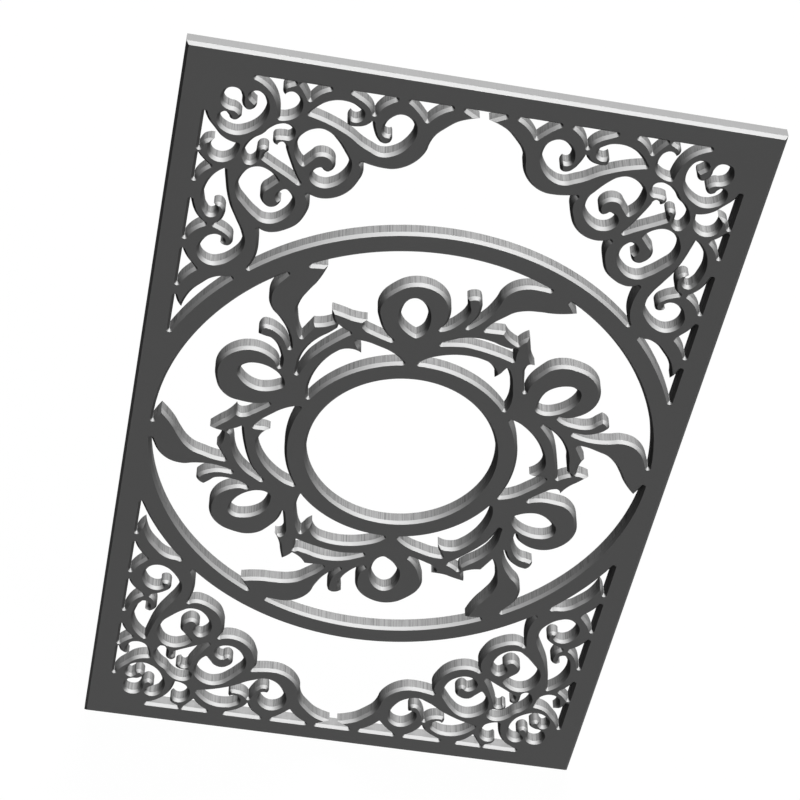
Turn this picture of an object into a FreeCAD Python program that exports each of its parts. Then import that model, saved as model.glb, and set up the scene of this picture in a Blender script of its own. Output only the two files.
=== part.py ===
import FreeCAD, Part
import math
import os

# Carved fretwork screen panel, upright: X runs across, Z up, and the carved front faces -Y.
# The origin is the middle of the bottom edge. The pattern is laid out flat first, with x to
# the right and y up from the panel centre and z towards the viewer, and stood up at the end.

# Overall sizes in millimetres
PANEL_WIDTH = 700.0
PANEL_HEIGHT = 1120.0
BOARD_THICKNESS = 18.0

# Frame members
STILE_WIDTH = 32.5
RAIL_WIDTH = 31.5

# Bevel along every front edge, the small radius that the cutter leaves in a notch, and the share
# of a curl end's radius that its bevel may take
BEVEL_WIDTH = 3.4
BEVEL_DEPTH = 3.9
NOTCH_RADIUS = 0.3
CURL_SHARE = 0.993

# Large ring, set in from the panel's sides, and the small ring in the middle
RING_MARGIN = 0.7
RING_BAND = 29.1
EYE_RADIUS = 121.6
EYE_BAND = 28.1
SPRAY_COUNT = 6

# Glued seats: the short stubs of wood that stand proud of a member where a scroll lands on it
SEAT_LENGTH = 4.0

# Tenons of the rails in the stiles
TENON_LENGTH = 22.0
TENON_THICKNESS = 6.0
TENON_WIDTH = 20.0
TENON_SLACK = 0.1

# Dowels
DOWEL_DIAMETER = 6.0
DOWEL_IN_FRAME = 13.0
DOWEL_IN_FRET = 7.0
DOWEL_SLACK = 0.1

# Loose tongues between the segments of the large ring
TONGUE_LENGTH = 24.0
TONGUE_WIDTH = 16.0
TONGUE_THICKNESS = 4.0
TONGUE_SLACK = 0.1
RING_JOINT_ANGLES = (72.0, 108.0)
RING_DOWEL_DROPS = (20.0, 40.0)

# Sizes that the pattern below was drawn at; it is stretched to the frame and the rings
DRAWN_HALF_WIDTH = 350.0
DRAWN_HALF_HEIGHT = 560.0
DRAWN_STILE = 32.5
DRAWN_RAIL = 31.5
DRAWN_EYE = 149.7
DRAWN_RING = 320.2
DRAWN_RING_OUT = 349.3
DRAWN_SPRAYS = 6

# Angles on the large ring where a corner fret's foot was drawn: its two sides and its middle
DRAWN_FOOT_LOW = 136.4
DRAWN_FOOT_HIGH = 132.57
DRAWN_FOOT_MIDDLE = 134.5

# Sweep of the crescent's edge into that foot: each height above the ring and angle past the foot
FOOT_SWEEP = ((8.2, 1.91), (3.1, 1.03))

# Places that follow from the sizes
HALF_WIDTH = PANEL_WIDTH / 2
HALF_HEIGHT = PANEL_HEIGHT / 2
STILE_LINE = HALF_WIDTH - STILE_WIDTH
RAIL_LINE = HALF_HEIGHT - RAIL_WIDTH
RING_OUT = HALF_WIDTH - RING_MARGIN
RING_IN = RING_OUT - RING_BAND
EYE_OUT = EYE_RADIUS + EYE_BAND
STILE_SEAT = STILE_LINE - SEAT_LENGTH
RAIL_SEAT = RAIL_LINE - SEAT_LENGTH
RING_SEAT_OUT = RING_OUT + SEAT_LENGTH
RING_SEAT_IN = RING_IN - SEAT_LENGTH
EYE_SEAT = EYE_OUT + SEAT_LENGTH
FRONT = BOARD_THICKNESS / 2
BACK = -BOARD_THICKNESS / 2
BEVEL_FOOT = FRONT - BEVEL_DEPTH
SPRAY_STEP = 360.0 / SPRAY_COUNT
STRETCH_ACROSS = STILE_LINE / (DRAWN_HALF_WIDTH - DRAWN_STILE)
OVERCUT = 1.0
LIP = 0.25

Z_AXIS = FreeCAD.Vector(0, 0, 1)
ORIGIN = FreeCAD.Vector(0, 0, 0)
SHARP = True


def vec(x, y, z=0.0):
    return FreeCAD.Vector(x, y, z)


def polar(radius, degrees):
    angle = math.radians(degrees)
    return vec(radius * math.cos(angle), radius * math.sin(angle))


def turned(point, degrees):
    angle = math.radians(degrees)
    return vec(point.x * math.cos(angle) - point.y * math.sin(angle),
               point.x * math.sin(angle) + point.y * math.cos(angle), point.z)


def foot_angle(degrees):
    """Angle on the large ring of a place drawn at the foot of the corner fret."""
    across = DRAWN_HALF_WIDTH + polar(DRAWN_RING_OUT, degrees).x
    x = -STILE_LINE + (across - DRAWN_STILE) * STRETCH_ACROSS
    return math.degrees(math.acos(x / RING_OUT))


def stretch_down():
    """Stretch of the corner pattern from the rail to its fret's foot on the large ring."""
    foot = polar(RING_OUT, foot_angle(DRAWN_FOOT_MIDDLE)).y
    drawn_foot = polar(DRAWN_RING_OUT, DRAWN_FOOT_MIDDLE).y
    return (RAIL_LINE - foot) / (DRAWN_HALF_HEIGHT - DRAWN_RAIL - drawn_foot)


def corner_place(across, down):
    """Point of the top left corner pattern, drawn from the panel's left and top edges.

    It is stretched across to the stile and the panel's middle, and down from the rail to the
    place where the fret's foot stands on the large ring."""
    return vec(-STILE_LINE + (across - DRAWN_STILE) * STRETCH_ACROSS,
               RAIL_LINE - (down - DRAWN_RAIL) * stretch_down())


def spray_place(x, y):
    """Point of the top spray, drawn from the panel centre between the two rings."""
    stretch = (RING_IN - EYE_OUT) / (DRAWN_RING - DRAWN_EYE)
    radius = EYE_OUT + (math.hypot(x, y) - DRAWN_EYE) * stretch
    degrees = math.degrees(math.atan2(y, x))
    return polar(radius, 90.0 + (degrees - 90.0) * DRAWN_SPRAYS / SPRAY_COUNT)


def spray_angle(degrees):
    """Angle on a ring of a place drawn at the top spray."""
    return 90.0 + (degrees - 90.0) * DRAWN_SPRAYS / SPRAY_COUNT


def drawn(place, points):
    """Nodes of an outline: a point and whether the outline turns sharply there."""
    return [(place(p[0], p[1]), len(p) > 2) for p in points]


def swung(nodes, degrees):
    return [(turned(p, degrees), sharp) for p, sharp in nodes]


def flipped(nodes):
    return [(vec(-p.x, p.y), sharp) for p, sharp in reversed(nodes)]


# Outline building

def unit(v):
    return v * (1.0 / v.Length)


def right_of(t):
    return vec(t.y, -t.x)


def cross(a, b):
    return a.x * b.y - a.y * b.x


def arc_middle(start, direction, end):
    """Middle of the arc that leaves start in a direction and ends at a point."""
    chord = end - start
    turn = math.atan2(cross(direction, chord), direction.dot(chord))
    return (start + end) * 0.5 + right_of(chord) * (0.5 * math.tan(turn / 2))


class Piece:
    """One arc or line of an outline, with its directions at the start and the end."""

    def __init__(self, start, direction, end):
        chord = unit(end - start)
        self.start = start
        self.end = end
        self.leave = unit(direction)
        self.arrive = chord * (2 * chord.dot(self.leave)) - self.leave
        self.straight = abs(cross(self.leave, chord)) < 1e-5
        self.middle = None if self.straight else arc_middle(start, self.leave, end)

    def curl_radius(self):
        """Radius where the wood curls round convex at this piece, and infinite elsewhere."""
        chord = self.end - self.start
        turn = math.atan2(cross(self.leave, chord), self.leave.dot(chord))
        if self.straight or turn > 0:
            return math.inf
        return chord.Length / (2 * math.sin(-turn))

    def edge(self, height, offset=0.0):
        lift = vec(0, 0, height)
        first = self.start + right_of(self.leave) * offset + lift
        last = self.end + right_of(self.arrive) * offset + lift
        if self.straight:
            return Part.makeLine(first, last)
        chord = unit(self.end - self.start)
        middle = self.middle + right_of(chord) * offset + lift
        return Part.Arc(first, middle, last).toShape()


def circle_direction(a, b, c):
    """Direction at b of the circle through three points."""
    before = b - a
    after = c - b
    return unit(before * (1.0 / before.dot(before)) + after * (1.0 / after.dot(after)))


def mirrored_direction(direction, chord):
    along = unit(chord)
    return along * (2 * along.dot(direction)) - direction


def run_directions(points):
    """Directions along a smooth run of points that starts and ends at sharp turns."""
    if len(points) == 2:
        along = unit(points[1] - points[0])
        return [along, along]
    inner = [circle_direction(points[i - 1], points[i], points[i + 1])
             for i in range(1, len(points) - 1)]
    first = mirrored_direction(inner[0], points[1] - points[0])
    last = mirrored_direction(inner[-1], points[-1] - points[-2])
    return [first] + inner + [last]


def smooth_pieces(start, leave, end, arrive):
    """One arc, or two that meet smoothly, between two points with given directions."""
    single = Piece(start, leave, end)
    if (single.arrive - arrive).Length < 1e-6:
        return [single]
    chord = end - start
    both = leave + arrive
    spread = 2 * (1 - leave.dot(arrive))
    along = chord.dot(both)
    if spread < 1e-9:
        reach = chord.dot(chord) / (2 * along)
    else:
        reach = (math.sqrt(along * along + spread * chord.dot(chord)) - along) / spread
    meet = (start + end + (leave - arrive) * reach) * 0.5
    first = Piece(start, leave, meet)
    return [first, Piece(meet, first.arrive, end)]


def signed_area(nodes):
    total = 0.0
    for i in range(len(nodes)):
        total += cross(nodes[i - 1][0], nodes[i][0])
    return total / 2


def outline_pieces(nodes):
    """Arcs and lines round an opening, counterclockwise, with its notches rounded."""
    if signed_area(nodes) < 0:
        nodes = list(reversed(nodes))
    sharp = [i for i, node in enumerate(nodes) if node[1]]
    if not sharp:
        points = [node[0] for node in nodes]
        count = len(points)
        ways = [circle_direction(points[i - 1], points[i], points[(i + 1) % count])
                for i in range(count)]
        pieces = []
        for i in range(count):
            after = (i + 1) % count
            pieces += smooth_pieces(points[i], ways[i], points[after], ways[after])
        return pieces, []
    nodes = nodes[sharp[0]:] + nodes[:sharp[0]]
    runs = []
    for node in nodes:
        if node[1]:
            if runs:
                runs[-1].append(node[0])
            runs.append([])
        runs[-1].append(node[0])
    runs[-1].append(nodes[0][0])
    ways = [run_directions(run) for run in runs]
    rounds = []
    for i, run in enumerate(runs):
        before = ways[i - 1][-1]
        after = ways[i][0]
        turn = math.atan2(cross(before, after), before.dot(after))
        if turn <= 0:
            rounds.append(None)
            continue
        cut = NOTCH_RADIUS * math.tan(turn / 2)
        rounds.append((run[0] - before * cut, run[0] + after * cut, before))
    pieces = []
    points_out = []
    for i, run in enumerate(runs):
        opening = rounds[i]
        closing = rounds[(i + 1) % len(runs)]
        points = list(run)
        if opening:
            pieces.append(Piece(opening[0], opening[2], opening[1]))
            points[0] = opening[1]
        else:
            points_out.append(len(pieces))
        if closing:
            points[-1] = closing[0]
        for k in range(len(points) - 1):
            pieces += smooth_pieces(points[k], ways[i][k], points[k + 1], ways[i][k + 1])
    return pieces, points_out


def opening_wire(pieces, points_out, height, offset):
    """Wire of an opening widened by an offset, mitred where the wood comes to a point."""
    edges = [piece.edge(height, offset) for piece in pieces]
    if offset > 0:
        for index in points_out:
            tip = pieces[index].start + vec(0, 0, height)
            first = edges[index - 1]
            second = edges[index]
            found = first.Curve.intersectCC(second.Curve)
            spots = [vec(p.X, p.Y, p.Z) for p in found]
            spot = min(spots, key=lambda p: (p - tip).Length)
            edges[index - 1] = trimmed(first, first.firstVertex().Point, spot)
            edges[index] = trimmed(second, spot, second.lastVertex().Point)
    return Part.Wire(edges)


def trimmed(edge, start, end):
    """The same arc or line between two points that lie on it."""
    if isinstance(edge.Curve, Part.Line):
        return Part.makeLine(start, end)
    centre = edge.Curve.Center
    radius = edge.Curve.Radius
    before = edge.valueAt((edge.FirstParameter + edge.LastParameter) / 2)
    halfway = (start + end) * 0.5 - centre
    if halfway.dot(before - centre) < 0:
        halfway = halfway * -1.0
    return Part.Arc(start, centre + unit(halfway) * radius, end).toShape()


def opening_cutter(nodes):
    """What is cut out of the board for one opening: a straight cut with a bevelled mouth.

    The bevel narrows with a pattern that is squeezed, so that the thin bars keep their flat
    face, and is no wider than the tightest curl end beside the opening has room for."""
    pieces, points_out = outline_pieces(nodes)
    tightest = min(piece.curl_radius() for piece in pieces)
    squeeze = min(1.0, STRETCH_ACROSS, stretch_down())
    mouth = min(squeeze * BEVEL_WIDTH * (1 + LIP / BEVEL_DEPTH), CURL_SHARE * tightest)
    sections = [opening_wire(pieces, points_out, BACK - OVERCUT, 0.0),
                opening_wire(pieces, points_out, BEVEL_FOOT, 0.0),
                opening_wire(pieces, points_out, FRONT + LIP, mouth)]
    return Part.makeLoft(sections, True, True)


# Pattern of the top left corner: every opening, point by point round its edge

def corner_openings():
    inner = STILE_LINE
    ring_tip = vec(-inner, math.sqrt(RING_OUT ** 2 - inner ** 2))
    foot_low = foot_angle(DRAWN_FOOT_LOW)
    low_angle = math.degrees(math.atan2(ring_tip.y, ring_tip.x))
    heart = drawn(corner_place, [
        (61, 51.9), (67.5, 53.6), (72, 61), (73, 69.5), (76, 75.5), (82, 79), (87.3, 76.3),
        (89.8, 72), (90.2, 67.4, SHARP), (85.2, 63.2), (82.3, 60.2), (81.6, 56.6), (84.5, 52.9),
        (89.5, 51.9),
        (95.5, 55), (100.4, 63.5), (102.1, 73), (100.5, 84), (94.5, 96), (84, 105.5),
        (72, 110.3), (60, 107.8), (52.5, 101.5), (50.5, 94.5), (52.5, 87.6), (56, 85.9),
        (60, 88.9), (63.5, 94.2), (68, 95.5), (73, 92), (75.2, 86.5), (72.8, 82.3),
        (66.5, 78.2), (59.8, 77.2), (54, 74), (51.2, 67.5), (51.6, 60), (54, 54.8)])
    rail_ear = drawn(corner_place, [
        (82.5, 31.5, SHARP), (129.2, 31.5, SHARP), (124.5, 34.1), (119.2, 37.1),
        (116.6, 42), (120.1, 50.8, SHARP), (125.2, 46.3), (128.8, 45.9), (134.3, 48.8),
        (138.4, 56.5), (139, 64.5),
        (136.5, 72.3), (128, 79.2), (118.9, 81.2, SHARP), (117.4, 71), (113.5, 59),
        (106, 46.8), (97.5, 39)])
    rail_bay_1 = drawn(corner_place, [
        (136.1, 31.5, SHARP), (170.3, 31.5, SHARP), (161.5, 36), (154.5, 42.3),
        (149, 50.3, SHARP), (143.5, 41.2)])
    rail_bay_2 = drawn(corner_place, [
        (194.9, 31.5, SHARP), (246.1, 31.5, SHARP), (238, 36.8), (230.5, 44.3),
        (224.6, 56.7, SHARP), (221.5, 49.5), (213, 41.2), (203, 35.5)])
    rail_bay_3 = drawn(corner_place, [
        (262.3, 31.5, SHARP), (311.1, 31.5, SHARP), (303, 35.8), (293.5, 43.8),
        (285.7, 53.9, SHARP), (274, 41), (267.5, 35.2)])
    upper_scroll = drawn(corner_place, [
        (151.9, 69.3, SHARP), (158, 61.3), (170, 51.3), (187, 47), (203, 51), (210.8, 59),
        (208, 67), (204.8, 68.3), (198, 64.6, SHARP), (195.7, 74), (197.3, 77.7), (201, 79.2),
        (207, 79), (216, 76.4), (224, 67.9, SHARP), (228.3, 81), (233, 89.6), (239, 95.2),
        (243.5, 96.1), (248, 94.2), (250.3, 89.8), (248.6, 81.2, SHARP), (241, 80.8),
        (239.3, 75.4), (239.6, 70.4), (243.5, 61.5), (257, 53.4),
        (268.5, 58.3), (274.1, 73.5), (269.5, 90), (257, 104.6), (243.5, 109.7),
        (226, 103.5), (198, 86), (176, 76.2)])
    twin_hooks = drawn(corner_place, [
        (155.1, 167.9, SHARP), (140, 158.2), (122, 148), (108.8, 140, SHARP),
        (109.1, 135, SHARP), (112.6, 131.3, SHARP), (111.7, 126), (108.6, 124),
        (105, 124.2), (101.5, 126.5), (99.8, 130.2), (99.6, 136), (98.6, 144.5), (92.6, 149),
        (87, 142.8), (85.3, 135),
        (87.8, 125.5), (94, 116), (103, 108.5), (110, 99), (118.5, 92.3), (127, 90.2),
        (134.5, 93.6), (136.6, 99), (134, 106.1), (126, 107.2), (120.5, 108),
        (116.9, 109.9), (115.5, 114), (121.8, 120.8, SHARP), (124.9, 116.2), (127.4, 115.6),
        (130.2, 117.7), (132.2, 123.5), (139.3, 139.7), (147, 155.2)])
    right_drop = drawn(corner_place, [
        (155.1, 139.5, SHARP), (148, 130.5), (144.6, 119), (144.8, 107), (150, 98.5),
        (159, 91.8), (169, 89.5), (179.5, 92.9), (190, 102.5), (200, 115.5),
        (206.8, 126.5), (208.2, 136), (204.5, 149.3), (195, 160.5), (183, 165.4),
        (172.5, 162.2), (167.8, 155), (168.3, 149.7), (173.5, 143.8), (177, 142.9),
        (180.3, 145.6), (184.6, 147.4), (189, 144.8), (191.9, 139.6), (192.4, 134.6),
        (188, 126),
        (178.5, 121.4), (168.5, 123.3), (161.5, 131.3)])
    left_drop = drawn(corner_place, [
        (128.4, 168.3, SHARP), (120, 178), (113.5, 185.8), (112.3, 194.5), (117.5, 205),
        (126, 209.7), (132.3, 207.6), (136, 203), (137.8, 197.4, SHARP), (134.4, 194.6),
        (133, 190.4), (135.2, 185), (140.3, 181.3), (147, 185.6), (151.2, 195), (149.5, 208),
        (142, 220), (131, 227.3), (121, 227.7), (110, 220.7), (96, 207), (88.5, 198), (84.7, 184),
        (87.5, 170), (96, 158.2), (107, 155), (117.5, 158.2)])
    stile_ear = drawn(corner_place, [
        (32.5, 87, SHARP), (37.5, 98.6), (47, 110), (57.5, 120.8), (67, 125.5),
        (75.9, 127, SHARP), (74.8, 135.2), (69, 146.6), (57.5, 150.9), (48.3, 146.3),
        (45.8, 140), (45.3, 134), (49.2, 124.9, SHARP), (40.4, 127), (37.6, 129), (35.6, 132.2),
        (34.2, 135.6), (32.5, 139.7, SHARP)])
    stile_bay_1 = drawn(corner_place, [
        (32.5, 146.9, SHARP), (40.5, 156), (48.2, 161.9, SHARP), (39, 171),
        (32.5, 185.2, SHARP)])
    lower_scroll = drawn(corner_place, [
        (66.2, 164.3, SHARP), (69, 178.5), (72.8, 195.5), (79, 214), (89, 233.7),
        (97.3, 249.5), (101.3, 262.5), (100.3, 274.5), (92, 288.3), (81, 298),
        (69.5, 301.7), (58, 296.8), (52.4, 285), (55, 272.4), (61.8, 263.6), (70, 261),
        (76.4, 263.3), (78.6, 266.2), (76, 271.4, SHARP), (82.2, 275.2), (86, 274.6),
        (89, 271.3), (90.4, 266.3), (89, 260.3), (82, 253.1), (72, 247.7),
        (65.1, 245.1, SHARP), (71.3, 240), (75.2, 229.5), (75.3, 222.2), (72.8, 217.3),
        (68.2, 213.8), (60.7, 216.4, SHARP), (64.6, 222.4), (63.9, 226.8),
        (61.8, 230.3), (58, 231.4), (52.5, 226.2), (48.5, 214.5), (46.7, 203), (48.8, 189),
        (55.5, 174.8)])
    stile_bay_2 = drawn(corner_place, [
        (32.5, 211.5, SHARP), (34.7, 219), (37.6, 227), (44.3, 237.8), (53.6, 245.6, SHARP),
        (44.5, 251.8), (37.5, 259.7), (32.5, 270.5, SHARP)])
    stile_bay_3 = drawn(corner_place, [
        (32.5, 286.7, SHARP), (39, 299.3), (46, 307.8), (51, 313.6, SHARP), (41, 324.4),
        (35.2, 333.7), (32.5, 341.8, SHARP)])
    crescent = drawn(corner_place, [
        (32.5, 357.7, SHARP), (34.1, 362.7), (36.2, 368), (42.4, 376.7, SHARP), (46.3, 361.5),
        (52.5, 348.5), (62, 337), (72, 327.2)])
    crescent += [(polar(RING_OUT + rise, foot_low + past), False) for rise, past in FOOT_SWEEP]
    crescent += [(polar(RING_OUT, foot_low), SHARP),
                 (polar(RING_OUT, (foot_low + low_angle) / 2), False),
                 (ring_tip, SHARP)]
    return [heart, rail_ear, rail_bay_1, rail_bay_2, rail_bay_3, upper_scroll, twin_hooks,
            right_drop, left_drop, stile_ear, stile_bay_1, lower_scroll, stile_bay_2,
            stile_bay_3, crescent]


def star_opening():
    """The wide opening above the large ring, between the two upper corner frets."""
    left = drawn(corner_place, [
        (326.2, 31.5, SHARP), (344.5, 41.6, SHARP), (331, 46.2), (321, 51.3), (310, 61.3),
        (298.5, 75.5), (294.6, 87), (293, 97), (286.8, 110), (275, 122.4), (260, 129.6),
        (246, 130.4), (233, 128.8), (221.2, 125.9, SHARP), (225.2, 133), (225.8, 142),
        (222.5, 154), (214, 170.5), (204, 179.8), (192, 185.2), (182, 186.4),
        (174, 184.9), (166.2, 180.9, SHARP), (170.4, 188.8), (171.8, 199.5), (169, 213.5),
        (161.5, 229), (149.5, 239.2), (138, 245), (128, 246.4), (116.9, 241.8, SHARP),
        (119.7, 253.5), (121.6, 270), (120.2, 286)])
    left.append((polar(RING_OUT, foot_angle(DRAWN_FOOT_HIGH)), SHARP))
    return left + [(vec(0, RING_OUT), False)] + flipped(left)


# Pattern between the rings, drawn at the top spray and turned round the centre

def spray_openings():
    foot_near = spray_angle(60.53)
    foot_far = spray_angle(65.69)
    neck_right = spray_angle(91.95)
    neck_left = spray_angle(99.73)
    ring_side = [(polar(RING_IN, foot_far), SHARP),
                 (polar(RING_IN, (foot_far + foot_near + SPRAY_STEP) / 2), False)]
    next_spray = [(polar(RING_IN, foot_near), SHARP)] + drawn(spray_place, [
        (163.5, 271), (169.9, 261.3, SHARP), (155, 257.4), (142, 255.5), (126, 255.1),
        (109, 253.4), (95.5, 248.4), (84, 238.6), (72, 226.9), (65.4, 217.4, SHARP),
        (90.2, 218.5, SHARP), (97, 210.3), (103.5, 205.6), (109.6, 202.5, SHARP),
        (113.8, 208.5), (121.4, 214.8, SHARP), (126, 200), (129.3, 187),
        (137.4, 171.8, SHARP), (129.4, 170.2), (127.4, 165), (128.6, 152.5), (130.8, 141)])
    this_spray = drawn(spray_place, [
        (-44.2, 180.2, SHARP), (-57.5, 192.3), (-66, 208), (-71.2, 225), (-67.3, 242.7),
        (-57.5, 256), (-43.5, 267.6), (-25, 272.5), (-7.5, 269.4), (7, 260), (16.2, 245.5),
        (18.6, 230), (15.5, 215.2), (9.8, 208.2, SHARP), (20, 213.4), (29.5, 223.5),
        (36.5, 235.5), (38, 243), (35.3, 252.5), (33.6, 259.9, SHARP), (41.5, 264.4),
        (48.5, 264), (53, 256.5), (54, 245), (51.5, 232.5), (46.8, 223.8),
        (40.9, 216, SHARP), (50.5, 224.3), (62.5, 239.7), (70, 256), (75.3, 273), (85, 285), (97, 291.4),
        (110, 293.6), (121, 293)])
    outer = ring_side + swung(next_spray, SPRAY_STEP) + this_spray
    window = drawn(spray_place, [
        (14.6, 185, SHARP), (24, 190.2), (38, 197), (52, 200.4), (64, 200.9), (78, 198.7),
        (92, 194.2), (103.2, 191.8, SHARP), (108.6, 194, SHARP), (107.8, 186),
        (108.7, 176.7, SHARP), (100, 179.8), (80, 185.2), (60, 189), (46, 190.3),
        (33, 189)])
    eye = drawn(spray_place, [
        (-21, 243.9), (-13, 240.9), (-5.5, 232.5), (-1, 221.5), (0.4, 209.5),
        (-1.2, 198.8), (-6, 190.8), (-11.5, 187.5), (-18, 190.3), (-27, 197.2),
        (-33.5, 206.3), (-36, 218.5), (-34.2, 230.5), (-28.8, 240.5)])
    top_eye = drawn(spray_place, [
        (-17.6, 192.9, SHARP), (-13, 196.4), (-9.2, 202.2), (-7.3, 211), (-7.5, 222.5),
        (-10.2, 233), (-14.8, 241), (-20.8, 246.2), (-27.5, 248), (-34, 245.8), (-38.8, 240),
        (-41.3, 231.5), (-41.6, 221), (-39.3, 211.8), (-34.8, 204.7), (-28, 198.7)])
    inner = [(polar(EYE_OUT, neck_right), SHARP)] + drawn(spray_place, [
        (5, 158.2), (18, 164.5), (35, 169.5), (54, 171.2), (70, 169.3), (81, 165.4),
        (88.3, 157.8), (92, 144, SHARP), (98.4, 150.6), (101.6, 156.6), (104.4, 161, SHARP),
        (110, 149.8), (114.3, 134), (117.3, 119), (117.5, 108)])
    inner += [(polar(EYE_OUT, neck_left - SPRAY_STEP), SHARP),
              (polar(EYE_OUT, (neck_right + neck_left - SPRAY_STEP) / 2), False)]
    return outer, window, eye, top_eye, inner


def spray_seam():
    """Line along which a spray meets its right neighbour, mostly across openings."""
    path = [spray_place(*p) for p in [
        (101.5, 150), (102.3, 157), (106.3, 179.5), (105.3, 190), (106.4, 207), (105, 225),
        (125, 240), (150, 247)]]
    return [polar(EYE_SEAT, spray_angle(50.0))] + path + [polar(RING_SEAT_IN, spray_angle(53.5))]


# Blanks

def slab(face):
    face.translate(vec(0, 0, BACK))
    return face.extrude(vec(0, 0, BOARD_THICKNESS))


def box(x0, x1, y0, y1, z0=BACK, z1=FRONT):
    return Part.makeBox(x1 - x0, y1 - y0, z1 - z0, vec(x0, y0, z0))


def disc(radius):
    return Part.makeCylinder(radius, BOARD_THICKNESS + 2 * OVERCUT, vec(0, 0, BACK - OVERCUT))


def board():
    """The whole outline of the panel, bevelled round its front edge."""
    def rectangle(inset, height):
        x = HALF_WIDTH - inset
        y = HALF_HEIGHT - inset
        return Part.makePolygon([vec(-x, -y, height), vec(x, -y, height), vec(x, y, height),
                                 vec(-x, y, height), vec(-x, -y, height)])
    return Part.makeLoft([rectangle(0, BACK), rectangle(0, BEVEL_FOOT),
                          rectangle(BEVEL_WIDTH, FRONT)], True, True)


def ring_sector(inner, outer, start, end):
    middle = (start + end) / 2
    edges = [Part.makeLine(polar(inner, start), polar(outer, start)),
             Part.Arc(polar(outer, start), polar(outer, middle), polar(outer, end)).toShape(),
             Part.makeLine(polar(outer, end), polar(inner, end)),
             Part.Arc(polar(inner, end), polar(inner, middle), polar(inner, start)).toShape()]
    return slab(Part.Face(Part.Wire(edges)))


def spray_blank():
    right = spray_seam()
    left = [turned(p, SPRAY_STEP) for p in right]
    edges = [Part.makeLine(a, b) for a, b in zip(right[:-1], right[1:])]
    top = polar(RING_SEAT_IN, spray_angle(53.5) + SPRAY_STEP / 2)
    edges.append(Part.Arc(right[-1], top, left[-1]).toShape())
    back = list(reversed(left))
    edges += [Part.makeLine(a, b) for a, b in zip(back[:-1], back[1:])]
    low = polar(EYE_SEAT, spray_angle(50.0) + SPRAY_STEP / 2)
    edges.append(Part.Arc(left[0], low, right[0]).toShape())
    return slab(Part.Face(Part.Wire(edges)))


def carve(blank, cutters):
    """A blank with every opening that reaches it cut through."""
    near = [c for c in cutters if c.BoundBox.intersect(blank.BoundBox)]
    carved = blank.cut(near)
    solids = sorted(carved.Solids, key=lambda s: s.Volume)
    return solids[-1]


# Joints

def dowel(seat, direction, in_frame, in_fret, slack=0.0):
    """A dowel across a seat; the direction points from the frame side to the fret side."""
    way = unit(direction)
    start = seat - way * (in_frame + slack)
    return Part.makeCylinder(DOWEL_DIAMETER / 2 + slack, in_frame + in_fret + 2 * slack,
                             start, way)


def dowel_places():
    """Every dowel of the top left quarter, the top arch and the top spray, by its joint."""
    def at_stile(down):
        return vec(-STILE_SEAT, corner_place(DRAWN_STILE, down).y)

    def at_rail(across):
        return vec(corner_place(across, DRAWN_RAIL).x, RAIL_SEAT)

    right = vec(1, 0)
    down = vec(0, -1)
    foot = polar(1.0, foot_angle(DRAWN_FOOT_MIDDLE))
    arch_top = math.sqrt(RING_OUT ** 2 - STILE_SEAT ** 2)
    neck = polar(1.0, spray_angle(95.84))
    leaf = polar(1.0, spray_angle(63.11))
    return {
        "fret_stile": [(at_stile(v), right) for v in (60.0, 198.3, 278.6, 349.7)],
        "fret_rail": [(at_rail(u), down) for u in (58.0, 182.6, 254.2, 318.6)],
        "fret_ring": [(foot * RING_SEAT_OUT, foot)],
        "ring_stile": [(vec(-STILE_SEAT, arch_top - drop), right) for drop in RING_DOWEL_DROPS],
        "spray_neck": [(neck * EYE_SEAT, neck)],
        "spray_leaf": [(leaf * RING_SEAT_IN, leaf * -1.0)],
    }


def tongue(degrees, slack=0.0):
    middle = (RING_IN + RING_OUT) / 2
    length = TONGUE_LENGTH + 2 * slack
    width = TONGUE_WIDTH + 2 * slack
    thick = TONGUE_THICKNESS + 2 * slack
    bar = Part.makeBox(width, length, thick, vec(middle - width / 2, -length / 2, -thick / 2))
    bar.rotate(ORIGIN, Z_AXIS, degrees)
    return bar


def tenon(slack=0.0):
    """Tenon at the left end of the top rail."""
    middle = (RAIL_SEAT + HALF_HEIGHT) / 2
    tall = TENON_WIDTH / 2 + slack
    thick = TENON_THICKNESS / 2 + slack
    return box(-STILE_SEAT - TENON_LENGTH - slack, -STILE_SEAT, middle - tall, middle + tall,
               -thick, thick)


def mirror_x(shape):
    return shape.mirror(ORIGIN, vec(1, 0, 0))


def mirror_y(shape):
    return shape.mirror(ORIGIN, vec(0, 1, 0))


def half_turn(shape):
    copy = shape.copy()
    copy.rotate(ORIGIN, Z_AXIS, 180)
    return copy


def turn(shape, degrees):
    copy = shape.copy()
    copy.rotate(ORIGIN, Z_AXIS, degrees)
    return copy


def stand_up(shape):
    copy = shape.copy()
    copy.rotate(ORIGIN, vec(1, 0, 0), 90)
    copy.translate(vec(0, 0, HALF_HEIGHT))
    return copy


def save(name, shape):
    upright = stand_up(shape)
    solids = upright.Solids
    volume = sum(s.Volume for s in solids) / 1000
    print(f"{name}: {len(solids)} solid(s), {len(upright.Faces)} faces, {volume:.1f} cm3, "
          f"valid {upright.isValid()}")
    upright.exportStep(f"parts/{name}.step")


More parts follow.
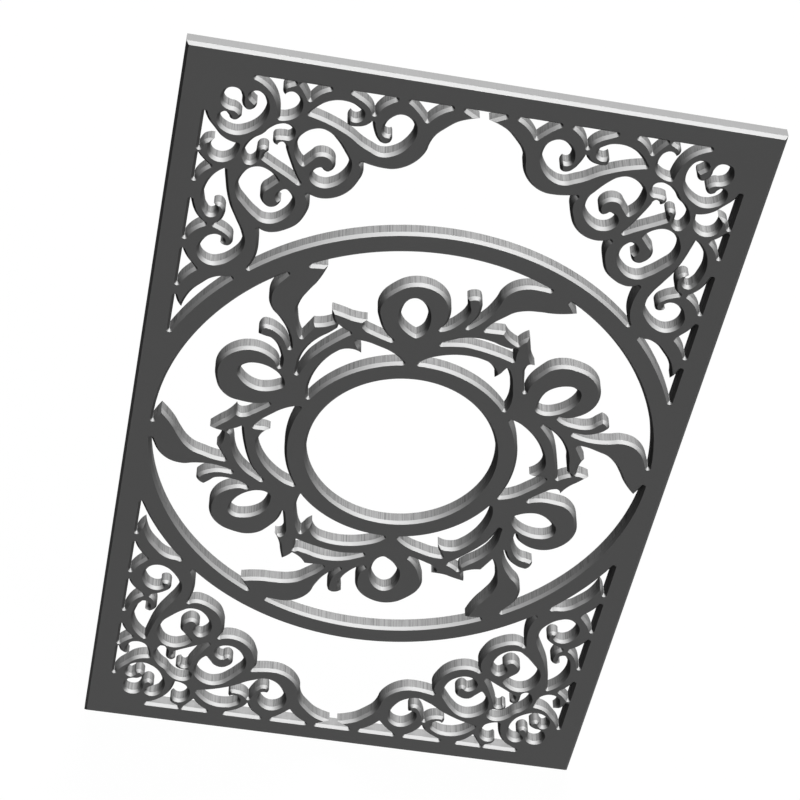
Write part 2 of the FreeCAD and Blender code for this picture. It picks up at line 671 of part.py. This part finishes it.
def main():
    os.makedirs("parts", exist_ok=True)

    # Openings
    corner = [opening_cutter(nodes) for nodes in corner_openings()]
    left_side = corner + [mirror_y(c) for c in corner]
    top_side = corner + [mirror_x(c) for c in corner]
    star = opening_cutter(star_opening())
    outer, window, eye, top_eye, inner = [opening_cutter(n) for n in spray_openings()]
    steps = [k * SPRAY_STEP for k in range(SPRAY_COUNT)]
    outers = [turn(outer, a) for a in steps]
    windows = [turn(window, a) for a in steps]
    inners = [turn(inner, a) for a in steps]
    middle_hole = opening_cutter([(polar(EYE_RADIUS, a), False) for a in (0, 90, 180, 270)])

    # Dowels, with the holes that take them
    places = dowel_places()

    def pins(joint, slack=0.0):
        return [dowel(seat, way, DOWEL_IN_FRAME, DOWEL_IN_FRET, slack)
                for seat, way in places[joint]]

    def holes(joint):
        return pins(joint, DOWEL_SLACK)

    whole = board()

    # Frame
    stile_blank = whole.common(box(-HALF_WIDTH - OVERCUT, -STILE_SEAT, -HALF_HEIGHT - OVERCUT,
                                   HALF_HEIGHT + OVERCUT))
    stile_blank = stile_blank.cut(disc(RING_SEAT_IN))
    stile = carve(stile_blank, left_side + outers)
    stile_bores = holes("fret_stile") + holes("ring_stile") + [tenon(TENON_SLACK)]
    stile_bores += [mirror_y(b) for b in stile_bores]
    stile_bores += [turn(b, a) for b in holes("spray_leaf") for a in steps]
    stile = carve(stile, stile_bores)
    save("left_stile", stile)
    save("right_stile", half_turn(stile))

    rail_blank = whole.common(box(-STILE_SEAT, STILE_SEAT, RAIL_SEAT, HALF_HEIGHT + OVERCUT))
    rail = carve(rail_blank, top_side + [star])
    rail_bores = holes("fret_rail")
    rail = carve(rail, rail_bores + [mirror_x(b) for b in rail_bores])
    rail = rail.fuse([tenon(), mirror_x(tenon())])
    save("top_rail", rail)
    save("bottom_rail", half_turn(rail))

    # Corner frets
    fret_blank = box(-STILE_SEAT, 0, 0, RAIL_SEAT).cut(disc(RING_SEAT_OUT))
    fret = carve(fret_blank, corner + [star])
    fret = carve(fret, holes("fret_stile") + holes("fret_rail") + holes("fret_ring"))
    save("corner_fret_top_left", fret)
    save("corner_fret_top_right", mirror_x(fret))
    save("corner_fret_bottom_left", mirror_y(fret))
    save("corner_fret_bottom_right", half_turn(fret))

    # Large ring: an arch of three segments above and the same below, between the stiles
    first, second = RING_JOINT_ANGLES
    between = box(-STILE_SEAT, STILE_SEAT, 0, HALF_HEIGHT)
    spans = {"right": (0.0, first), "middle": (first, second), "left": (second, 180.0)}
    ring_bores = holes("fret_ring") + holes("ring_stile")
    ring_bores += [mirror_x(b) for b in ring_bores]
    ring_bores += [turn(b, a) for b in holes("spray_leaf") for a in steps]
    ring_bores += [tongue(a, TONGUE_SLACK) for a in RING_JOINT_ANGLES]
    opposite = {"right": "left", "middle": "middle", "left": "right"}
    for place, (start, end) in spans.items():
        blank = ring_sector(RING_SEAT_IN, RING_SEAT_OUT, start, end).common(between)
        segment = carve(blank, top_side + [star] + outers)
        segment = carve(segment, ring_bores)
        save(f"ring_segment_upper_{place}", segment)
        save(f"ring_segment_lower_{opposite[place]}", half_turn(segment))

    # Middle ring
    eye_blank = disc(EYE_SEAT).common(box(-EYE_SEAT, EYE_SEAT, -EYE_SEAT, EYE_SEAT))
    middle_ring = carve(eye_blank, inners + [middle_hole])
    middle_ring = carve(middle_ring, [turn(b, a) for b in holes("spray_neck") for a in steps])
    save("middle_ring", middle_ring)

    # Sprays
    around = [outers[0], turn(outer, -SPRAY_STEP), windows[0], turn(window, SPRAY_STEP)]
    around += [inners[0], turn(inner, SPRAY_STEP)]
    spray_bores = holes("spray_neck") + holes("spray_leaf")
    spray = carve(carve(spray_blank(), around + [eye]), spray_bores)
    top_spray = carve(carve(spray_blank(), around + [top_eye]), spray_bores)
    save("spray_1", top_spray)
    for k in range(1, SPRAY_COUNT):
        save(f"spray_{k + 1}", turn(spray, -k * SPRAY_STEP))

    # Dowels and tongues
    def quarters(shapes):
        both = shapes + [mirror_x(s) for s in shapes]
        return Part.makeCompound(both + [mirror_y(s) for s in both])

    save("fret_to_stile_dowels", quarters(pins("fret_stile")))
    save("fret_to_rail_dowels", quarters(pins("fret_rail")))
    save("fret_to_ring_dowels", quarters(pins("fret_ring")))
    save("ring_to_stile_dowels", quarters(pins("ring_stile")))
    save("spray_neck_dowels", Part.makeCompound(
        [turn(pins("spray_neck")[0], a) for a in steps]))
    save("spray_leaf_dowels", Part.makeCompound(
        [turn(pins("spray_leaf")[0], a) for a in steps]))
    tongues = [tongue(a) for a in RING_JOINT_ANGLES]
    save("ring_tongues", Part.makeCompound(tongues + [half_turn(t) for t in tongues]))


main()
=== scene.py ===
"""Dresses the carved fretwork panel: satin charcoal paint over frame, rings, sprays and corner
frets, bare wood on the hidden joinery, and a plain white studio seen from above the left side."""

import logging
import math
from dataclasses import dataclass, field
from enum import Enum
from typing import Iterable

import bpy
import numpy as np
from mathutils import Matrix, Vector

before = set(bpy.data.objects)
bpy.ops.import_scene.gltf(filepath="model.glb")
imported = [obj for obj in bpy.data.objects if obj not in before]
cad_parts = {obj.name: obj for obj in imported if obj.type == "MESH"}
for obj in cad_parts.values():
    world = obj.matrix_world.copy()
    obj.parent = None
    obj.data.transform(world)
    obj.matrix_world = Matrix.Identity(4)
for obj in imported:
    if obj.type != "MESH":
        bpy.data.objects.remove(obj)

log = logging.getLogger("fretwork_panel")

Colour = tuple[float, float, float]
Point = tuple[float, float, float]
Span = tuple[float, float]
Socket = bpy.types.NodeSocket

WHITE: Colour = (1.0, 1.0, 1.0)
EVEN: Point = (1.0, 1.0, 1.0)
PATTERN_MIDDLE = 0.5


class Member(Enum):
    """Sub-assemblies of the panel, each with the starts of its pieces' names."""

    STILES = "left_stile right_stile"
    RAILS = "top_rail bottom_rail"
    LARGE_RING = "ring_segment_"
    MIDDLE_RING = "middle_ring"
    SPRAYS = "spray_1 spray_2 spray_3 spray_4 spray_5 spray_6"
    CORNER_FRETS = "corner_fret_"
    JOINERY = "fret_to_ ring_to_ spray_neck_ spray_leaf_ ring_tongues"

    def owns(self, name: str) -> bool:
        """Whether a piece of that name belongs to this sub-assembly."""
        return any(name.startswith(start) for start in self.value.split())


class Ray(Enum):
    """Rays that see the studio's ground and surround as plain white."""

    CAMERA = "Is Camera Ray"
    GLOSSY = "Is Glossy Ray"
    TRANSMISSION = "Is Transmission Ray"


def opaque(colour: Colour) -> tuple[float, float, float, float]:
    """A colour with nothing showing through it, as a colour socket takes it."""
    return (*colour, 1.0)


class NodeSheet:
    """A node tree with short calls for adding nodes and joining their sockets."""

    MIX_COLOUR_INPUTS = (6, 7)
    MIX_COLOUR_OUTPUT = 2
    GRAIN_ROUGHNESS = 0.6

    def __init__(self, tree: bpy.types.NodeTree) -> None:
        """Empties the tree that is to be drawn.

        Args:
            tree: the node tree of a material, the world or a geometry group.
        """
        self.tree = tree
        tree.nodes.clear()

    def add(self, kind: str, **settings: object) -> bpy.types.Node:
        """Adds one node.

        Args:
            kind: the node's type name.
            settings: attributes of the node, by name.

        Returns:
            The new node.
        """
        node = self.tree.nodes.new(kind)
        for key, value in settings.items():
            setattr(node, key, value)
        return node

    def join(self, source: Socket, target: Socket) -> None:
        """Links an output to an input."""
        self.tree.links.new(source, target)

    def feed(self, target: Socket, value: object) -> None:
        """Gives an input a link where the value is an output, and a plain value otherwise.

        Args:
            target: the input socket.
            value: an output socket, a number or a colour.
        """
        if isinstance(value, Socket):
            self.join(value, target)
        else:
            target.default_value = value

    def math(self, operation: str, first: object, second: object = 0.0,
             third: object = 0.0) -> Socket:
        """Adds a calculation with up to three values.

        Args:
            operation: the kind of calculation.
            first: its first value, an output or a number.
            second: its second value, used by the kinds that take two.
            third: its third value, used by the kinds that take three.

        Returns:
            The output with the result.
        """
        node = self.add("ShaderNodeMath", operation=operation)
        for socket, value in zip(node.inputs, (first, second, third)):
            self.feed(socket, value)
        return node.outputs[0]

    def ramp(self, value: Socket, low: float, high: float, start: float, end: float) -> Socket:
        """Carries a value smoothly from one range to another and holds it at the ends.

        Args:
            value: the output to carry over.
            low: where the change starts.
            high: where it ends.
            start: the result at low and before.
            end: the result at high and after.

        Returns:
            The output with the result.
        """
        node = self.add("ShaderNodeMapRange", interpolation_type="SMOOTHSTEP")
        self.join(value, node.inputs["Value"])
        node.inputs["From Min"].default_value = low
        node.inputs["From Max"].default_value = high
        node.inputs["To Min"].default_value = start
        node.inputs["To Max"].default_value = end
        return node.outputs["Result"]

    def blend(self, share: object, first: object, second: object) -> Socket:
        """Mixes two colours.

        Args:
            share: how much of the second colour is taken, an output or a number.
            first: a colour or an output.
            second: a colour or an output.

        Returns:
            The output with the mixed colour.
        """
        node = self.add("ShaderNodeMix", data_type="RGBA")
        self.feed(node.inputs[0], share)
        for index, value in zip(self.MIX_COLOUR_INPUTS, (first, second)):
            self.feed(node.inputs[index], opaque(value) if isinstance(value, tuple) else value)
        return node.outputs[self.MIX_COLOUR_OUTPUT]

    def grain(self, place: Socket, stretch: Point, scale: float, detail: float) -> Socket:
        """Adds a cloudy pattern, drawn out along the axes whose stretch is small.

        Args:
            place: the coordinates that it lies on.
            stretch: how fast the pattern runs along each axis.
            scale: pattern cells to the metre.
            detail: how many finer layers it has.

        Returns:
            The output with the pattern, from 0 to 1.
        """
        mapping = self.add("ShaderNodeMapping")
        mapping.inputs["Scale"].default_value = stretch
        self.join(place, mapping.inputs["Vector"])
        noise = self.add("ShaderNodeTexNoise")
        noise.inputs["Scale"].default_value = scale
        noise.inputs["Detail"].default_value = detail
        noise.inputs["Roughness"].default_value = self.GRAIN_ROUGHNESS
        self.join(mapping.outputs["Vector"], noise.inputs["Vector"])
        return noise.outputs["Fac"]

    def bump(self, height: Socket, strength: float, distance: float = 1.0) -> Socket:
        """Adds a fine relief.

        Args:
            height: the output with the height.
            strength: how much of the relief is felt.
            distance: metres that a height of 1 stands for.

        Returns:
            The output with the normal.
        """
        node = self.add("ShaderNodeBump")
        node.inputs["Strength"].default_value = strength
        node.inputs["Distance"].default_value = distance
        self.join(height, node.inputs["Height"])
        return node.outputs["Normal"]

    def surface(self, shader: bpy.types.Node, kind: str = "ShaderNodeOutputMaterial") -> None:
        """Ends the sheet with its output node, which shows the shader."""
        self.join(shader.outputs[0], self.add(kind).inputs["Surface"])


def new_material(name: str) -> tuple[bpy.types.Material, NodeSheet]:
    """Makes a material with an empty sheet.

    Args:
        name: the finish's name.

    Returns:
        The material and its node sheet.
    """
    material = bpy.data.materials.new(name)
    material.use_nodes = True
    return material, NodeSheet(material.node_tree)


@dataclass(frozen=True)
class PaintMarks:
    """What the paint is drawn from: how far a surface looks upwards, whether it is a wall or a
    bevel, and the patterns of saw lines, mottle and roller grain."""

    rise: Socket
    on_wall: Socket
    on_bevel: Socket
    saw: Socket
    mottle: Socket
    roller: Socket


@dataclass(frozen=True)
class CharcoalPaint:
    """Satin charcoal paint: rolled smooth on the face, thin over the sawn walls of the openings
    with saw lines that are partly painted streaks of shade, with painted light that makes every
    wall and bevel paler the more it looks upwards, and painted shade on the bevels that face
    sideways.

    A lean is the front-to-back part of a surface's normal, and a rise is its upward part. Heights
    are in metres.
    """

    name: str = "satin_charcoal_paint"
    face: Colour = (0.086, 0.086, 0.086)
    face_roughness: float = 0.48
    # the top colours of wall and bevel are painted light, and the bevel's side colour is painted
    # shade
    wall_side: Colour = (0.102, 0.102, 0.102)
    wall_painted_top_light: Colour = (0.185, 0.185, 0.185)
    wall_painted_light_power: float = 4.0
    wall_lean: Span = (0.25, 0.45)
    wall_roughness: float = 1.0
    bevel_painted_side_shade: Colour = (0.044, 0.044, 0.044)
    bevel_painted_top_light: Colour = (0.355, 0.355, 0.355)
    bevel_painted_light_power: float = 2.4
    bevel_lean: float = -0.657
    bevel_lean_window: float = 0.17
    bevel_rise: float = 0.754
    bevel_roughness: float = 0.36
    specular: float = 0.03
    saw_lines_per_metre: float = 800.0
    saw_stretch: Point = (1.0, 0.01, 1.0)
    saw_detail: float = 2.0
    saw_span: Span = (0.44, 0.66)
    # the darkening along the saw lines is partly painted shade, in streaks across the walls
    saw_painted_shade: float = 0.45
    saw_height: float = 0.00006
    mottle_per_metre: float = 9.0
    mottle_detail: float = 3.0
    mottle: float = 0.04
    mottle_roughness: float = 0.10
    roller_grain_per_metre: float = 1500.0
    roller_detail: float = 1.0
    roller_height: float = 0.000035
    relief_strength: float = 0.6

    def marks(self, sheet: NodeSheet) -> PaintMarks:
        """Draws what colour, gloss and relief are made from.

        The lean tells face, bevel and wall apart. Saw lines are a pattern that hardly changes
        from front to back, so that on a wall they run straight through the board.

        Args:
            sheet: the material's node sheet.

        Returns:
            The outputs with zones and patterns.
        """
        place = sheet.add("ShaderNodeTexCoord")
        spot = place.outputs["Object"]
        parts = sheet.add("ShaderNodeSeparateXYZ")
        sheet.join(place.outputs["Normal"], parts.inputs[0])
        lean = parts.outputs["Y"]
        cloud = sheet.grain(spot, EVEN, self.mottle_per_metre, self.mottle_detail)
        return PaintMarks(
            rise=parts.outputs["Z"],
            on_wall=sheet.ramp(sheet.math("ABSOLUTE", lean), *self.wall_lean, 1.0, 0.0),
            on_bevel=sheet.math("COMPARE", lean, self.bevel_lean, self.bevel_lean_window),
            saw=sheet.grain(spot, self.saw_stretch, self.saw_lines_per_metre, self.saw_detail),
            mottle=sheet.math("SUBTRACT", cloud, PATTERN_MIDDLE),
            roller=sheet.grain(spot, EVEN, self.roller_grain_per_metre, self.roller_detail),
        )

    def colour(self, sheet: NodeSheet, marks: PaintMarks) -> Socket:
        """Draws the paint's colour.

        The rise, raised to a power, carries wall and bevel from their side colour to their paler
        top colour:
        painted light on what looks upwards, and painted shade on bevels that face sideways.
        Mottle then makes the paint a little lighter or darker, and saw lines darken the walls in
        streaks that are partly painted shade.

        Args:
            sheet: the material's node sheet.
            marks: zones and patterns.

        Returns:
            The output with the colour.
        """
        # painted light and shade: walls and bevels grow paler the more they look upwards, side
        # bevels darker
        upward = sheet.math("MAXIMUM", marks.rise, 0.0)
        share = sheet.math("POWER", upward, self.wall_painted_light_power)
        wall = sheet.blend(share, self.wall_side, self.wall_painted_top_light)
        upward = sheet.math("DIVIDE", upward, self.bevel_rise)
        share = sheet.math("POWER", upward, self.bevel_painted_light_power)
        bevel = sheet.blend(share, self.bevel_painted_side_shade, self.bevel_painted_top_light)
        paint = sheet.blend(marks.on_wall, self.face, wall)
        paint = sheet.blend(marks.on_bevel, paint, bevel)
        # painted shade: saw lines darken the walls in streaks; their relief comes from the bump
        # below
        line = sheet.ramp(marks.saw, *self.saw_span, 0.0, self.saw_painted_shade)
        painted_streak_shade = sheet.math("MULTIPLY", line, marks.on_wall)
        tone = sheet.math("MULTIPLY_ADD", marks.mottle, 2.0 * self.mottle, 1.0)
        tone = sheet.math("SUBTRACT", tone, painted_streak_shade)
        toned = sheet.add("ShaderNodeVectorMath", operation="SCALE")
        sheet.join(paint, toned.inputs[0])
        sheet.join(tone, toned.inputs["Scale"])
        return toned.outputs[0]

    def roughness(self, sheet: NodeSheet, marks: PaintMarks) -> Socket:
        """Draws the paint's roughness: satin on the face, glossier on bevels, dull on walls.

        Args:
            sheet: the material's node sheet.
            marks: zones and patterns.

        Returns:
            The output with the roughness.
        """
        rough = sheet.ramp(marks.on_wall, 0.0, 1.0, self.face_roughness, self.wall_roughness)
        gloss = sheet.math("MULTIPLY", marks.on_bevel, self.bevel_roughness - self.face_roughness)
        rough = sheet.math("ADD", rough, gloss)
        return sheet.math("MULTIPLY_ADD", marks.mottle, self.mottle_roughness, rough)

    def relief(self, sheet: NodeSheet, marks: PaintMarks) -> Socket:
        """Draws the paint's fine relief: roller grain all over, and saw lines on the walls.

        Args:
            sheet: the material's node sheet.
            marks: zones and patterns.

        Returns:
            The output with the normal.
        """
        depth = sheet.math("MULTIPLY", marks.on_wall, self.saw_height)
        ripple = sheet.math("MULTIPLY", marks.saw, depth)
        height = sheet.math("MULTIPLY_ADD", marks.roller, self.roller_height, ripple)
        return sheet.bump(height, self.relief_strength)

    def material(self) -> bpy.types.Material:
        """Draws the paint's nodes.

        Returns:
            The material.
        """
        material, sheet = new_material(self.name)
        marks = self.marks(sheet)
        shader = sheet.add("ShaderNodeBsdfPrincipled")
        shader.inputs["Specular IOR Level"].default_value = self.specular
        sheet.join(self.colour(sheet, marks), shader.inputs["Base Color"])
        sheet.join(self.roughness(sheet, marks), shader.inputs["Roughness"])
        sheet.join(self.relief(sheet, marks), shader.inputs["Normal"])
        sheet.surface(shader)
        return material


@dataclass(frozen=True)
class BareBeech:
    """Unpainted beech of the dowels and tongues, with short flecks in a fine grain."""

    name: str = "bare_beech"
    light: Colour = (0.66, 0.50, 0.33)
    dark: Colour = (0.50, 0.35, 0.20)
    fleck_per_metre: float = 700.0
    fleck_stretch: Point = (1.0, 1.0, 0.15)
    fleck_detail: float = 4.0
    fleck_height: float = 0.0002
    relief_strength: float = 0.3
    roughness: float = 0.62

    def material(self) -> bpy.types.Material:
        """Draws the wood's nodes.

        Returns:
            The material.
        """
        material, sheet = new_material(self.name)
        place = sheet.add("ShaderNodeTexCoord")
        fleck = sheet.grain(place.outputs["Object"], self.fleck_stretch, self.fleck_per_metre,
                            self.fleck_detail)
        shader = sheet.add("ShaderNodeBsdfPrincipled")
        shader.inputs["Roughness"].default_value = self.roughness
        sheet.join(sheet.blend(fleck, self.light, self.dark), shader.inputs["Base Color"])
        relief = sheet.bump(fleck, self.relief_strength, self.fleck_height)
        sheet.join(relief, shader.inputs["Normal"])
        sheet.surface(shader)
        return material


@dataclass(frozen=True)
class EdgeFinish:
    """How the pieces are shaded: curved walls and bevels run smooth, and arrises stay crisp. Weld
    is the distance in metres at which corners of triangles count as one."""

    name: str = "crisp_arrises"
    weld: float = 0.000001
    crisp_angle: float = math.radians(28.0)

    def group(self) -> bpy.types.NodeTree:
        """Draws the steps that close a piece's triangles and mark its arrises.

        Triangles that share corners are closed, edges that turn by more than the crisp angle
        become sharp, and all faces are then shaded smooth between the sharp edges.

        Returns:
            The geometry node group.
        """
        tree = bpy.data.node_groups.new(self.name, "GeometryNodeTree")
        for way in ("INPUT", "OUTPUT"):
            tree.interface.new_socket("Geometry", in_out=way, socket_type="NodeSocketGeometry")
        sheet = NodeSheet(tree)
        start = sheet.add("NodeGroupInput")
        merge = sheet.add("GeometryNodeMergeByDistance")
        merge.inputs["Distance"].default_value = self.weld
        angle = sheet.add("GeometryNodeInputMeshEdgeAngle")
        gentle = sheet.add("FunctionNodeCompare", data_type="FLOAT", operation="LESS_THAN")
        gentle.inputs[1].default_value = self.crisp_angle
        faces = sheet.add("GeometryNodeSetShadeSmooth", domain="FACE")
        edges = sheet.add("GeometryNodeSetShadeSmooth", domain="EDGE")
        faces.inputs["Shade Smooth"].default_value = True
        finish = sheet.add("NodeGroupOutput")
        sheet.join(start.outputs[0], merge.inputs["Geometry"])
        sheet.join(merge.outputs["Geometry"], faces.inputs["Geometry"])
        sheet.join(faces.outputs["Geometry"], edges.inputs["Geometry"])
        sheet.join(angle.outputs["Unsigned Angle"], gentle.inputs[0])
        sheet.join(gentle.outputs[0], edges.inputs["Shade Smooth"])
        sheet.join(edges.outputs["Geometry"], finish.inputs[0])
        return tree


@dataclass
class FretworkPanel:
    """The panel's sub-assemblies, dressed piece by piece."""

    pieces: dict[str, bpy.types.Object]
    sawn: CharcoalPaint = field(default_factory=CharcoalPaint)
    # the planed frame's paint has the same painted light on upward edges and fainter painted
    # streaks of shade
    planed: CharcoalPaint = field(default_factory=lambda: CharcoalPaint(
        name="satin_charcoal_on_planed_wood", saw_painted_shade=0.06, saw_height=0.00001))
    beech: BareBeech = field(default_factory=BareBeech)
    edges: EdgeFinish = field(default_factory=EdgeFinish)

    def members(self, member: Member) -> Iterable[bpy.types.Object]:
        """Pieces of one sub-assembly, in the order of their names."""
        return (self.pieces[name] for name in sorted(self.pieces) if member.owns(name))

    def finishes(self) -> dict[Member, bpy.types.Material]:
        """The finish of each sub-assembly: planed frame, sawn fretwork, bare joinery.

        Returns:
            The material by sub-assembly.
        """
        sawn = self.sawn.material()
        planed = self.planed.material()
        table = {member: sawn for member in Member}
        table[Member.STILES] = planed
        table[Member.RAILS] = planed
        table[Member.JOINERY] = self.beech.material()
        return table

    def dress(self) -> None:
        """Gives every piece its finish and its crisp arrises."""
        crisp = self.edges.group()
        for member, finish in self.finishes().items():
            for piece in self.members(member):
                piece.data.materials.clear()
                piece.data.materials.append(finish)
                piece.modifiers.new(crisp.name, "NODES").node_group = crisp
                log.info("%s: %s in %s", member.name.lower(), piece.name, finish.name)


@dataclass(frozen=True)
class SoftLamp:
    """One broad lamp: the direction it hangs in as seen from the panel, its strength, its breadth
    in degrees, whether pieces shade each other from it, and how far away its stand is."""

    name: str
    towards: Point
    strength: float
    breadth: float
    shades: bool = True
    distance: float = 3.0

    def build(self) -> None:
        """Hangs the lamp, turned so that it shines from its direction on to the panel."""
        lamp = bpy.data.lights.new(self.name, "SUN")
        lamp.energy = self.strength
        lamp.angle = math.radians(self.breadth)
        lamp.use_shadow = self.shades
        stand = bpy.data.objects.new(self.name, lamp)
        towards = Vector(self.towards)
        turn = towards.to_track_quat("Z", "Y").to_matrix().to_4x4()
        stand.matrix_world = Matrix.Translation(self.distance * towards) @ turn
        bpy.context.scene.collection.objects.link(stand)
        log.info("lamp: %s", self.name)


@dataclass
class Studio:
    """White ground, broad soft lamps and the camera that looks down from the left."""

    floor_half: float = 9.0
    floor_level: float = -0.0005
    floor_points: int = 9
    floor_colour: Colour = (0.035, 0.035, 0.035)
    floor_white: float = 0.91
    ambient: float = 0.02
    camera_place: Point = (-0.3815, -2.3313, 2.5796)
    camera_ahead: Point = (0.11955657, 0.76334362, -0.63483285)
    camera_up: Point = (-0.14123007, 0.64599266, 0.75016501)
    lens: float = 108.74
    sensor: float = 36.0
    lamps: tuple[SoftLamp, ...] = (
        SoftLamp("overhead_lamp", (0.13, -0.19, 0.97), 6.9, 25.0, shades=False),
        SoftLamp("back_lamp", (0.05, 0.70, 0.71), 1.6, 30.0),
        SoftLamp("front_lamp", (0.55, -0.73, 0.40), 1.3, 30.0),
    )

    def seen_white(self, sheet: NodeSheet) -> Socket:
        """Marks the rays that see the studio as plain white.

        Args:
            sheet: the node sheet that needs the mark.

        Returns:
            The output that is 1 for such a ray and 0 for the rest.
        """
        path = sheet.add("ShaderNodeLightPath")
        mark: object = 0.0
        for ray in Ray:
            mark = sheet.math("MAXIMUM", path.outputs[ray.value], mark)
        return mark

    def ground(self) -> bpy.types.Material:
        """Draws the floor's finish: a dark matt paper that is lifted to white where it is seen.

        Returns:
            The material.
        """
        material, sheet = new_material("white_ground")
        paper = sheet.add("ShaderNodeBsdfDiffuse")
        paper.inputs["Color"].default_value = opaque(self.floor_colour)
        glow = sheet.add("ShaderNodeEmission")
        lift = sheet.math("MULTIPLY", self.seen_white(sheet), self.floor_white)
        sheet.join(lift, glow.inputs["Strength"])
        both = sheet.add("ShaderNodeAddShader")
        sheet.join(paper.outputs[0], both.inputs[0])
        sheet.join(glow.outputs[0], both.inputs[1])
        sheet.surface(both)
        return material

    def floor(self) -> None:
        """Lays the floor, a flat square grid.

        A point at u, v of the unit square lies at half times (2u - 1, 2v - 1), at floor level.
        """
        steps = np.linspace(0.0, 1.0, self.floor_points)
        u, v = np.meshgrid(steps, steps)
        points = np.stack([self.floor_half * (2.0 * u - 1.0), self.floor_half * (2.0 * v - 1.0),
                           np.full_like(u, self.floor_level)], axis=-1).reshape(-1, 3)
        corner = np.arange(u.size).reshape(u.shape)
        quads = np.stack([corner[:-1, :-1], corner[:-1, 1:], corner[1:, 1:], corner[1:, :-1]],
                         axis=-1).reshape(-1, 4)
        mesh = bpy.data.meshes.new("studio_floor")
        mesh.from_pydata(points.tolist(), [], quads.tolist())
        mesh.materials.append(self.ground())
        floor = bpy.data.objects.new("studio_floor", mesh)
        bpy.context.scene.collection.objects.link(floor)
        log.info("floor laid")

    def surround(self) -> None:
        """Makes the world white to look at and a faint even light on the object."""
        world = bpy.data.worlds.new("studio_surround")
        world.use_nodes = True
        sheet = NodeSheet(world.node_tree)
        strength = sheet.ramp(self.seen_white(sheet), 0.0, 1.0, self.ambient, 1.0)
        sky = sheet.add("ShaderNodeBackground")
        sky.inputs["Color"].default_value = opaque(WHITE)
        sheet.join(strength, sky.inputs["Strength"])
        sheet.surface(sky, "ShaderNodeOutputWorld")
        bpy.context.scene.world = world

    def camera(self) -> None:
        """Sets up the camera with its axes: right, up and back along the line of sight."""
        lens = bpy.data.cameras.new("view_from_above_left")
        lens.lens = self.lens
        lens.sensor_width = self.sensor
        stand = bpy.data.objects.new("view_from_above_left", lens)
        ahead = Vector(self.camera_ahead).normalized()
        up = Vector(self.camera_up).normalized()
        right = ahead.cross(up)
        axes = Matrix((right, up, -ahead)).transposed().to_4x4()
        stand.matrix_world = Matrix.Translation(self.camera_place) @ axes
        bpy.context.scene.collection.objects.link(stand)
        bpy.context.scene.camera = stand

    def build(self) -> None:
        """Sets up floor, surround, lamps and camera."""
        bpy.context.scene.view_settings.view_transform = "Standard"
        self.floor()
        self.surround()
        for lamp in self.lamps:
            lamp.build()
        self.camera()


def main() -> None:
    """Dresses the panel and sets up the studio round it."""
    logging.basicConfig(level=logging.INFO, format="%(name)s %(message)s")
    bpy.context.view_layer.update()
    panel = FretworkPanel(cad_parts)
    panel.dress()
    Studio().build()


if __name__ == "__main__":
    main()
